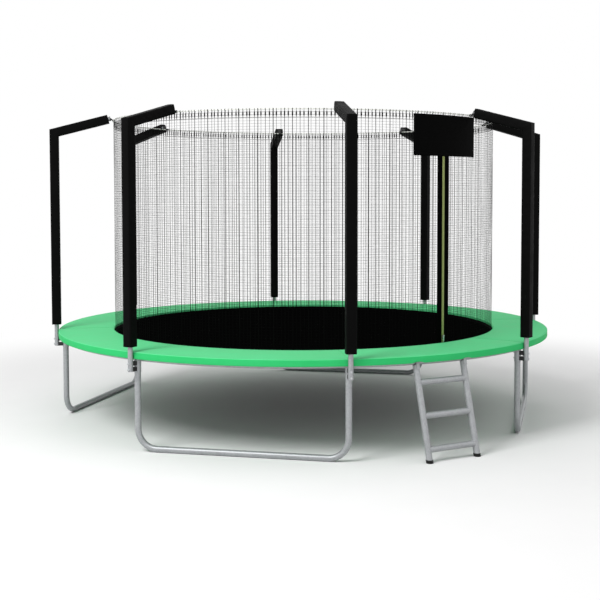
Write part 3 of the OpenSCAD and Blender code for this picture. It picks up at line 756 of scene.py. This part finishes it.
def makeSleeve(spec, i, relief, section):
    a, b = section.T
    flatSide = faceOf(section)
    sine, cosine = sinCos(spec["tilt"])
    mitre = (1 - sine) / cosine
    low, bendH, reach, step = padTop + spec["foot"], spec["bendH"], spec["reach"], spec["step"]
    upLong = bendH - low
    upCount, armCount = int(upLong / step), int(reach / step)

    def upright(x, y, z):
        return place(legAz(i), poleR + x, y, z)

    def arm(s, x, y):
        # at s along the arm, x and y are offsets like those of the section
        return place(legAz(i), poleR - s * cosine + x * sine, y, bendH + s * sine + x * cosine)

    def soften(along):
        # each sleeve reads the simulated folds from another start and quarter turn
        share = spec["foldClear"] + (along + spec["foldShift"] * i) % 1.0 * (1 - 2 * spec["foldClear"])
        line = reliefAt(relief, np.full(len(a), share), np.linspace(0, 1, len(a)))
        line = np.roll(line, sideCols * (i % 4))
        rub = np.array([waver(x * 40, y * 40, along * 60 + 17 * i) for x, y in zip(a, b)])
        return (section + flatSide * (line + spec["rub"] * rub)[:, None]).T
    turn = np.arctan2(b, a)
    ca, cb = spec["bore"] * np.cos(turn), spec["bore"] * np.sin(turn)
    deep = (spec["boreDeep"], 1 * mm)
    rows = [upright(ca, cb, low + d) for d in deep]
    for share in np.arange(upCount + 1) / upCount:
        x, y = soften(share * upLong / (upLong + reach))
        rows.append(upright(x, y, low + share * (bendH + x * mitre - low)))
    for share in np.arange(1, armCount + 1) / armCount:
        x, y = soften((upLong + share * reach * 0.99) / (upLong + reach))
        rows.append(arm(-mitre * x + share * (reach + mitre * x), x, y))
    rows += [arm(reach - d, ca, cb) for d in deep[::-1]]
    count, cols = len(rows), len(section)
    around = lengthsAlong(section)
    uv = np.concatenate([np.stack([around, np.full(cols, n * step)], -1) for n in range(count)])
    faces = gridFaces(count, cols, closeCols=True)
    row = faces[:, 0] // cols
    sleeve = makeObject(f"sleeve_cover_{i + 1}", np.concatenate(rows), faces[:, ::-1], [sleeveVinyl, foam],
                        uv=uv, faceMaterial=((row < 2) | (row >= count - 3)).tolist())
    settle(sleeve, "frame", [f"pole_sleeve_{i + 1}"])
    # rows of thread: along the closing seam on the inner face and round the lower hem
    stitched = []
    half = spec["width"] / 2 + 0.4 * mm
    for y in (-spec["seamHalf"], spec["seamHalf"]):
        path = upright(-half, y, np.linspace(low + spec["rowEnd"], bendH - half * mitre - 4 * mm, 60))
        stitched.append(stitchRow(path, -path[0] * (1, 1, 0)))
        path = arm(np.linspace(half * mitre + 6 * mm, reach - spec["rowEnd"], 20), -half, y)
        stitched.append(stitchRow(path, place(legAz(i), -sine, 0, -cosine)))
    loop = np.concatenate([section, section[:1]]) * (1 + 0.5 * mm / (spec["width"] / 2))
    hemZ = low + spec["hemRow"]
    path = upright(*loop.T, hemZ)
    stitched.append(stitchRow(path, path - upright(0, 0, hemZ)))
    return stitched


sleeveFolds, squareTube = sleeveRelief(sleeveSpec)
sleeveRows = sum([makeSleeve(sleeveSpec, bay, sleeveFolds, squareTube) for bay in range(bays)], [])
makeStitches("sleeve_stitches", sleeveRows, blackThread, "frame")
print("sleeves made")


# Spring bed: springs, triangular rings and the straps that hold them
springSpec = {"perBay": 12, "wire": 3.5 * mm, "outer": 22 * mm, "rise": 12 * mm, "turns": 27, "coilSteps": 10,
              "taperTurns": 1.3, "straight": 34 * mm, "lead": 12 * mm, "endGap": 38 * mm,
              "catchR": 7 * mm, "tipR": 4 * mm, "ringBore": 22.5 * mm,
              "side": 36 * mm, "corner": 7 * mm, "ringWire": 4 * mm, "reach": 8 * mm,
              "strapW": 30 * mm, "strapT": 1.6 * mm, "strapIn": 42 * mm, "stitchIn": 4 * mm,
              "strapOver": 1.4 * mm, "strapUnder": 8.4 * mm, "sides": 5, "ringSides": 8,
              "stillOut": 40 * mm, "stillIn": 50 * mm}
springPitch = bayDeg / springSpec["perBay"]
springAz = [legAz(i) + springPitch * (j + 0.5) for i in range(bays) for j in range(springSpec["perBay"])]

matSpec = {"hem": 45 * mm, "hemRise": 1.2 * mm, "hemThick": 7 * mm, "thick": 3 * mm, "soft": 1.5 * mm,
           "eye": 20 * mm, "steps": 240, "hemRows": (39 * mm, 33 * mm, 14 * mm)}


def makeMat(spec):
    hemIn, hemTop, hemLow = matR - spec["hem"], matTop + spec["hemRise"], matTop - spec["hemThick"]
    top = [(r, matTop) for r in np.linspace(spec["eye"], hemIn - 3 * mm, 30)]
    top += [(hemIn, hemTop), (hemIn + 8 * mm, hemTop), (hemIn + 22 * mm, matTop + spec["hemRise"] * 0.8),
            (matR - 9 * mm, hemTop), (matR - spec["soft"], matTop), (matR, matTop - 3 * mm)]
    low = [(matR - spec["soft"], hemLow + 1 * mm), (matR - 4 * mm, hemLow), (hemIn + 2 * mm, hemLow),
           (hemIn, hemLow + 1 * mm), (hemIn - 2 * mm, matTop - spec["thick"])]
    low += [(r, matTop - spec["thick"]) for r in np.linspace(hemIn - 5 * mm, spec["eye"], 20)]
    profile = np.array(top + low)
    turn = np.arange(spec["steps"]) * 360 / spec["steps"]
    points = np.concatenate([place(turn, r, 0, z) for r, z in profile])
    faces = gridFaces(len(profile), spec["steps"], closeCols=True)[:, ::-1].tolist()
    faces += endFaces(len(profile), spec["steps"])
    mat = makeObject("mat_cloth", points, faces, matCloth, uv=points[:, :2])
    allRound = np.linspace(0, 360, 721)
    rows = [stitchRow(place(allRound, matR - inset, 0, hemTop), skyward) for inset in spec["hemRows"]]
    inset = springSpec["stitchIn"]
    sewn = np.linspace(matR - springSpec["strapIn"] + inset, matR - 3 * inset, 6)
    side = springSpec["strapW"] / 2 - inset
    strapTop = matTop + springSpec["strapOver"] + springSpec["strapT"]
    rows += [stitchRow(place(az, sewn, y, strapTop + 0.1 * mm), skyward)
             for az in springAz for y in (-side, side)]
    thread = makeStitches("mat_stitches", rows, blackThread, "mat")
    settle(mat, "mat", ["jumping_mat"])


def springLine(spec):
    # hook at the mat ring, straight wire, coil, straight wire and a bent tip in the ring's hole
    axisZ, wire, turns = ringH + spec["rise"], spec["wire"], spec["turns"]
    tipRing = matR + spec["reach"] + 2 * spec["corner"] + spec["side"] * math.cos(math.radians(30))
    catchX = tipRing + spec["catchR"] - wire / 2 - spec["ringWire"] / 2 - 0.5 * mm
    bodyStart, bodyEnd = catchX + spec["straight"], ringR - ladderSpec["tube"] / 2 - spec["endGap"]
    # the tip goes through the wall just inside the tube's bore
    holeX = ringR - math.sqrt(spec["ringBore"] ** 2 - spec["rise"] ** 2) + 1 * mm
    line = arc(catchX, axisZ - spec["catchR"], spec["catchR"], np.linspace(290, 90, 12))
    line = [(x, 0, z) for x, z in line + [(catchX + 2 * spec["catchR"], axisZ)]]
    for share in np.linspace(0, 1, turns * spec["coilSteps"] + 1):
        taper = min(1, share * turns / spec["taperTurns"], (1 - share) * turns / spec["taperTurns"])
        sine, cosine = sinCos(360 * turns * share)
        r = (spec["outer"] - wire) / 2 * taper
        line.append((bodyStart + share * (bodyEnd - bodyStart), r * cosine, axisZ + r * sine))
    tip = [(bodyEnd + spec["lead"], axisZ)] + arc(holeX, axisZ - spec["tipR"], spec["tipR"], (90, 60, 30, 0))
    return np.array(line + [(x, 0, z) for x, z in tip])


def makeSprings(spec):
    tube = tubePoints(springLine(spec), spec["wire"] / 2, spec["sides"])
    faces = gridFaces(len(tube), spec["sides"], closeCols=True)
    springs = copies("spring_coils", tube, faces, springAz, zinc)
    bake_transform(springs)
    # the blend runs along the spring, between its still ends
    settle(springs, replaced=["springs"])


def makeRings(spec):
    middle = matR + spec["reach"] + spec["corner"] + spec["side"] * math.tan(math.radians(30)) / 2
    planeZ = ringH + spec["rise"] - spec["catchR"]
    line = []
    for turn in (0, 120, 240):
        sine, cosine = sinCos(turn)
        tip = spec["side"] / math.sqrt(3)
        line += arc(middle + tip * cosine, tip * sine, spec["corner"], turn + np.linspace(-60, 60, 7))
    tube = tubePoints([(x, y, planeZ) for x, y in line], spec["ringWire"] / 2, spec["ringSides"], closed=True)
    faces = gridFaces(len(tube), spec["ringSides"], closeRows=True, closeCols=True)
    rings = copies("mat_ring_wires", tube, faces, springAz, zinc)
    settle(rings, "mat", ["mat_rings"])


def makeStraps(spec):
    # webbing folded round each ring and sewn to both faces of the mat's edge
    planeZ = ringH + spec["rise"] - spec["catchR"]
    tail, half = matR - spec["strapIn"], spec["strapW"] / 2
    over, below = matTop + spec["strapOver"], matTop - spec["strapUnder"]
    line = [(tail, over), (matR - 10 * mm, over), (matR - 1 * mm, over - 1 * mm)]
    line += arc(matR + spec["reach"], planeZ, spec["ringWire"] / 2 + 0.3 * mm, np.linspace(100, -100, 9))
    line += [(matR - 1 * mm, below + 1 * mm), (matR - 10 * mm, below), (tail, below)]
    line = np.array(line)
    skin = line - sideways(line) * spec["strapT"]
    points = [[(p[0], -half, p[1]), (q[0], -half, q[1]), (q[0], half, q[1]), (p[0], half, p[1])]
              for p, q in zip(line, skin)]
    uv = np.array([[(y, s) for y in (-half, -half, half, half)] for s in lengthsAlong(line)]).reshape(-1, 2)
    straps = copies("ring_straps", points, gridFaces(len(line), 4, closeCols=True), springAz, webbing,
                    smooth=False, uv=np.tile(uv, (len(springAz), 1)))
    settle(straps, "mat", ["ring_tabs"])


makeStraps(springSpec)
makeMat(matSpec)
makeRings(springSpec)
makeSprings(springSpec)
print("mat and springs made")


netSpec = {"uprights": 364, "uneven": 0.35, "flat": 0.5 * mm,
           "widths": (2.5, 4.8, 2.4, 3.4, 2.4, 5.9, 2.6, 2.5, 4.1),
           "levelH": 1.8 * mm, "levelT": 0.4 * mm, "levelPitch": 21 * mm, "bandH": 70 * mm, "foldR": 6.3 * mm,
           "hoopDrop": 8 * mm, "gatherW": 12 * mm, "gatherHigh": (22 * mm, 32 * mm, 52 * mm, 65 * mm),
           "drift": 2.2 * mm, "dip": 1.2 * mm, "calm": 300 * mm, "stretch": 0.9,
           "outer": 1 * mm, "inner": -2 * mm, "underHoop": 12 * mm,
           "hemT": 2 * mm, "hemH": 26 * mm, "hemSteps": 364, "seamDrop": (71 * mm, 68.5 * mm)}


def netWall(spec, az, z, low, high):
    # the wall of the net isn't quite round or upright, but is true at its two edges
    sine, cosine = sinCos(az)
    calm = min(1, max(0, (z - low) / spec["calm"]), max(0, (high - z) / spec["calm"]))
    return netR + spec["drift"] * waver(cosine * 3, sine * 3, z * 1.3) * calm


def netUpright(spec, k, bottom, bandLow, hoopZ):
    az = 360 / spec["uprights"] * (k + spec["uneven"] * waver(k * 0.73, 0, 0))
    heights = np.concatenate([np.linspace(bottom, bandLow - 20 * mm, 18),
                              np.linspace(bandLow, hoopZ - spec["underHoop"], 6)])
    line = [(netWall(spec, az, z, bottom, hoopZ) + spec["outer"], z) for z in heights]
    fold = arc(netR, hoopZ, spec["foldR"], np.linspace(0, 180, 7))
    line += fold + [(netR - 3 * mm, hoopZ - 25 * mm), (netR - 1.5 * mm, bandLow)]
    # the yarn is gathered half way up the band
    width = spec["widths"][k % len(spec["widths"])] * mm
    gathered = spec["gatherW"] * (0.9 + 0.2 * waver(k * 1.7, 4, 0))
    share = np.interp(netTop - heights, spec["gatherHigh"], (0, 1, 1, 0))
    widths = np.full(len(line), width)
    widths[:len(heights)] += (gathered - width) * share
    strip = ribbon(line, widths, spec["flat"])
    return place(az, *np.moveaxis(strip, -1, 0)), gridFaces(len(line), 4, closeCols=True)


def netLevel(spec, z, offset, bottom, hoopZ):
    thin, turn = spec["levelT"] / 2, np.arange(spec["uprights"]) * 360 / spec["uprights"]
    rings = []
    for az in turn:
        r = netWall(spec, az, z, bottom, hoopZ) + offset
        middle = z + spec["dip"] * waver(az * 0.4, z * 40, 5)
        high = spec["levelH"] / 2 * (0.75 + 0.5 * waver(az * 0.9, z * 31, 9))
        rings.append(place(az, np.array([r + thin, r - thin, r - thin, r + thin]), 0,
                           middle + high * np.array([1, 1, -1, -1])))
    return np.concatenate(rings), gridFaces(len(turn), 4, closeRows=True, closeCols=True)


def makeNet(spec):
    # knitted from flat yarn: heavy and light uprights, fine levels, the top edge folded over the hoop
    hoopZ, bandLow, bottom = netTop - spec["hoopDrop"], netTop - spec["bandH"], matTop + 0.5 * mm
    parts = [netUpright(spec, k, bottom, bandLow, hoopZ) for k in range(spec["uprights"])]
    for start, stop, offset in ((bottom + spec["levelPitch"], hoopZ - spec["underHoop"], spec["outer"]),
                                (bandLow, hoopZ - 8 * mm, spec["inner"])):
        for z in np.arange(start, stop, spec["levelPitch"]):
            parts.append(netLevel(spec, z, offset, bottom, hoopZ))
    net = makeObject("net_cords", *joined(parts), netYarn, smooth=False)
    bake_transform(net)
    return settle(net, replaced=["net_mesh"])


def ringStrip(name, x, thick, low, high):
    steps = netSpec["hemSteps"]
    turn = np.arange(steps) * 360 / steps
    section = np.array([(x, low), (x + thick, low), (x + thick, high), (x, high)])
    points = np.concatenate([place(az, section[:, 0], 0, section[:, 1]) for az in turn])
    uv = [(math.radians(az) * x, z) for az in turn for z in (low, low, high, high)]
    faces = gridFaces(steps, 4, closeRows=True, closeCols=True)
    return makeObject(name, points, faces, webbing, smooth=False, uv=uv)


def makeHems(spec, net):
    # the lower hem is sewn to the mat; the upper one shows as a seam under the folded band
    inner = netR - spec["hemT"]
    hem = ringStrip("net_bottom_hem", inner, spec["hemT"], matTop + 0.3 * mm, matTop + spec["hemH"])
    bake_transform(hem)
    settle(hem, replaced=["net_bottom_band"])
    seamLow, seamHigh = [netTop - drop for drop in spec["seamDrop"]]
    seam = ringStrip("net_top_seam", inner, spec["hemT"], seamLow, seamHigh)
    settle(seam, "frame", ["net_top_band"])


makeHems(netSpec, makeNet(netSpec))
print("net made")


def bentStrip(name, az, size, low, high, grid, material, replaced=(), lift=0.0, wave=0.0):
    # a thin closed strip bent round the net, with soft waves: its width and thickness, columns and rows
    (width, thick), (cols, rows), inner = size, grid, netSkin + lift
    half = math.degrees(width / 2 / inner)
    points, uv = [], []
    for skin in (inner, inner + thick):
        for z in np.linspace(low, high, rows):
            for a in np.linspace(az - half, az + half, cols):
                r = skin + wave * (0.5 + 0.5 * waver(a * 0.6, z * 7, 2))
                points.append(place(a, r, 0, z))
                uv.append((math.radians(a) * inner, z))
    per = rows * cols
    faces = gridFaces(rows, cols).tolist() + (gridFaces(rows, cols) + per)[:, ::-1].tolist()
    rim = list(range(cols)) + [r * cols + cols - 1 for r in range(1, rows)]
    rim += [per - cols + c for c in range(cols - 2, -1, -1)] + [r * cols for r in range(rows - 2, 0, -1)]
    faces += [[b, a, a + per, b + per] for a, b in zip(rim, rim[1:] + rim[:1])]
    return settle(makeObject(name, points, faces, material, uv=uv), "frame", replaced)


doorSpec = {"width": 130 * mm, "layer": 1.6 * mm, "tapeW": 26 * mm, "tapeT": 0.5 * mm, "toothPitch": 3.2 * mm,
            "chainW": 8 * mm, "chainX": 1685.5 * mm, "chainDeep": 2.6 * mm, "toothH": 1.9 * mm,
            "overlap": 0.6 * mm, "stopW": 14 * mm, "stopH": 10 * mm, "stopDeep": 4 * mm, "seamIn": 7 * mm,
            "tapeSeam": 4 * mm, "tapeFrom": 20 * mm, "tapePast": 3 * mm, "grid": (14, 40), "tapeGrid": (5, 8)}


def makeDoor(spec):
    # the tape is sewn on below the sign, edge to edge
    low, high = lowOf("door_band").z, lowOf("blank_sign").z
    band = bentStrip("door_cloth", doorAz, (spec["width"], spec["layer"]), low, high, spec["grid"],
                     doorCloth, ["door_band"])
    chainLow, chainHigh = lowOf("zip_chain").z, highOf("zip_chain").z
    skin = netSkin + spec["layer"]
    tape = bentStrip("zip_tape", doorAz, (spec["tapeW"], spec["tapeT"]), low + spec["tapeFrom"],
                     chainHigh + spec["tapePast"], spec["tapeGrid"], zipTape,
                     lift=spec["layer"] + 0.05 * mm)
    chainX, halfStop = spec["chainX"], spec["stopW"] / 2
    tooth, toothFaces = roundedBox((chainX, -spec["chainW"] / 2, 0),
                                   (chainX + spec["chainDeep"], spec["overlap"], spec["toothH"]), 0.4 * mm)
    count = int((chainHigh - chainLow - spec["stopH"]) / spec["toothPitch"])
    parts = []
    for k in range(count * 2):
        # teeth stand by turns on the left and the right tape
        side = -1 if k % 2 else 1
        points = tooth * (1, side, 1) + (0, 0, chainLow + spec["stopH"] + k * spec["toothPitch"] / 2)
        parts.append((place(doorAz, *points.T), [f[::side] for f in toothFaces]))
    stop, stopFaces = roundedBox((chainX, -halfStop, chainLow),
                                 (chainX + spec["stopDeep"], halfStop, chainLow + spec["stopH"]), 1 * mm)
    parts.append((place(doorAz, *stop.T), stopFaces))
    teeth = makeObject("zip_tooth_rows", *joined(parts), zipPlastic, smooth=False)
    settle(teeth, "frame", ["zip_chain"])
    rows = []
    skin += 0.1 * mm
    outer, inner = spec["width"] / 2 - spec["seamIn"], spec["tapeW"] / 2 + spec["tapeSeam"]
    for y in (-outer, -inner, inner, outer):
        path = place(doorAz + math.degrees(y / skin), skin, 0, np.linspace(low + 10 * mm, high - 6 * mm, 60))
        rows.append(stitchRow(path))
    thread = makeStitches("door_stitches", rows, blackThread, "frame")


signSpec = {"width": 736 * mm, "thick": 1.4 * mm, "wave": 1.2 * mm, "hem": 16 * mm, "threadLift": 1.1 * mm,
            "grid": (60, 28)}


def makeSign(spec):
    low, high = lowOf("blank_sign").z, highOf("blank_sign").z
    sign = bentStrip("sign_panel", signAz, (spec["width"], spec["thick"]), low, high, spec["grid"],
                     signCloth, ["blank_sign"], wave=spec["wave"])
    skin = netSkin + spec["thick"] + spec["threadLift"]
    wide = math.degrees((spec["width"] / 2 - spec["hem"]) / netSkin)
    low, high = low + spec["hem"], high - spec["hem"]
    across, up = np.linspace(signAz - wide, signAz + wide, 60), np.linspace(low, high, 30)
    rows = [stitchRow(place(az, skin, 0, z)) for az, z in ((across, low), (across, high),
                                                           (signAz - wide, up), (signAz + wide, up))]
    thread = makeStitches("sign_stitches", rows, blackThread, "frame")


makeDoor(doorSpec)
makeSign(signSpec)
print("door and sign made")


studio = {"floor": "F2F2F2", "floorCloud": "F5F5F5", "cloudMm": 400, "halfSide": 60, "drop": 0.5 * mm,
          "sky": 0.66, "whiteFrom": 3.0, "whiteTo": 6.5, "aim": (0, 0, 1.0),
          "lamps": (("key", (-5.0, -6.5, 7.5), 4.0, 660), ("fill", (7.0, -5.0, 5.0), 5.0, 40))}
plainWhite = (1, 1, 1, 1)


def seenDirectly(tree):
    # 1 where a ray comes from the camera, a mirror or glass, so that these see the white background
    path = addNode(tree, "LightPath").outputs
    seen = path["Is Camera Ray"]
    for ray in ("Is Glossy Ray", "Is Transmission Ray"):
        seen = addNode(tree, "Math", {0: seen, 1: path[ray]}, operation="MAXIMUM").outputs[0]
    return seen


def makeFloor(spec):
    # matt white board that turns into the white background with distance from the middle
    material, tree = emptyMaterial("matt_white_board")
    where = addNode(tree, "TexCoord").outputs["Object"]
    cloud = addNode(tree, "TexNoise", {"Vector": where, "Scale": metreMm / spec["cloudMm"], "Detail": 3.0})
    colour = addNode(tree, "Mix", {0: cloud.outputs["Fac"], 6: linear(spec["floor"]),
                                   7: linear(spec["floorCloud"])}, data_type="RGBA")
    board = addNode(tree, "BsdfPrincipled", {"Base Color": colour.outputs[2], "Roughness": 0.9,
                                             "Specular IOR Level": 0.05})
    far = addNode(tree, "VectorMath", {0: where}, operation="LENGTH")
    fade = addNode(tree, "MapRange", {"Value": far.outputs["Value"], "From Min": spec["whiteFrom"],
                                      "From Max": spec["whiteTo"]}, interpolation_type="SMOOTHERSTEP")
    share = addNode(tree, "Math", {0: fade.outputs[0], 1: seenDirectly(tree)}, operation="MULTIPLY")
    glow = addNode(tree, "Emission", {"Color": plainWhite, "Strength": 1.0})
    both = addNode(tree, "MixShader", {0: share.outputs[0], 1: board.outputs[0], 2: glow.outputs[0]})
    addNode(tree, "OutputMaterial", {"Surface": both.outputs[0]})
    side = spec["halfSide"]
    floor = makeObject("floor", [(x * side, y * side, 0) for x, y in ((-1, -1), (1, -1), (1, 1), (-1, 1))],
                       [(0, 1, 2, 3)], material, smooth=False)
    floor.location.z = -spec["drop"]


def makeSky(spec):
    world = bpy.data.worlds.new("studio")
    world.use_nodes = True
    bpy.context.scene.world = world
    tree = world.node_tree
    tree.nodes.clear()
    light, white = [addNode(tree, "Background", {"Color": plainWhite, "Strength": strength})
                    for strength in (spec["sky"], 1.0)]
    mix = addNode(tree, "MixShader", {0: seenDirectly(tree), 1: light.outputs[0], 2: white.outputs[0]})
    addNode(tree, "OutputWorld", {"Surface": mix.outputs[0]})


def makeLamps(spec):
    for name, where, size, power in spec["lamps"]:
        data = bpy.data.lights.new(name, "AREA")
        data.size = size
        data.energy = power
        lamp = bpy.data.objects.new(name, data)
        lamp.location = where
        lamp.rotation_euler = (Vector(spec["aim"]) - Vector(where)).to_track_quat("-Z", "Y").to_euler()
        bpy.context.scene.collection.objects.link(lamp)


makeFloor(studio)
makeSky(studio)
makeLamps(studio)
bpy.context.scene.view_settings.view_transform = "Standard"
print("studio made")
